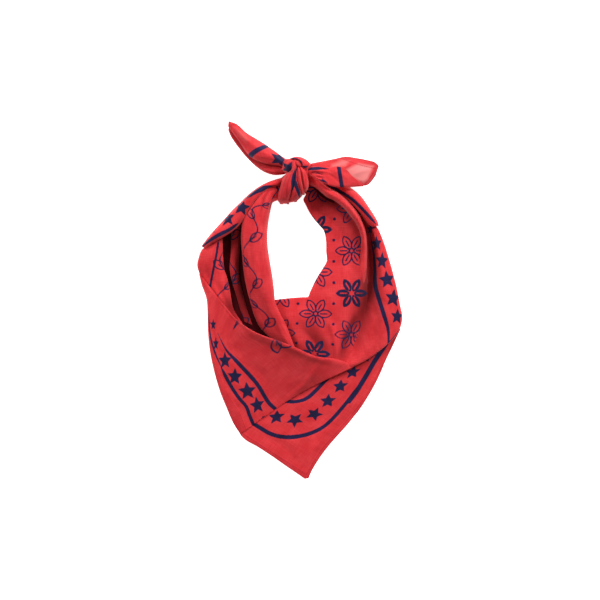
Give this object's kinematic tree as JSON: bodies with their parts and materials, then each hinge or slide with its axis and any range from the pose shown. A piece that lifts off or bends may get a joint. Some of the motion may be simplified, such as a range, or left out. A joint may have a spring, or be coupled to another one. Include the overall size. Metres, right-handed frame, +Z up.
{
  "type": "dog scarf",
  "caption": "Square cotton dog scarf folded on its diagonal, tied in a knot and laid flat, with an open neck ring and a pointed bib.",
  "frame": {"origin": "middle of the bounding box, on the surface that the scarf lies on", "axes": "+Z up out of the surface, +Y from the bib's point to the knot and the tails, +X to the right as seen from above"},
  "size_m": [0.2128, 0.372, 0.0382],
  "materials": {
    "red_print": "plain-woven red cotton printed with navy border lines, stars and an all-over motif",
    "red_inside": "the same red cotton, in the shade of the folds"
  },
  "bodies": {
    "root": {"bib_lower": "red_print", "bib_upper": "red_print", "neck_left_side": "red_print", "neck_left_outer": "red_print", "neck_left_pleat": "red_print", "neck_left_inner": "red_print", "neck_right_inner": "red_print", "cowl_inner": "red_print", "neck_right_outer": "red_print", "neck_right_edge": "red_print", "knot_wrap": "red_print", "knot_top": "red_print", "knot_left": "red_print", "tail_left_upper": "red_print", "tail_left_under": "red_print", "tail_right": "red_print", "hidden_layers": "red_inside"}
  },
  "joints": []
}
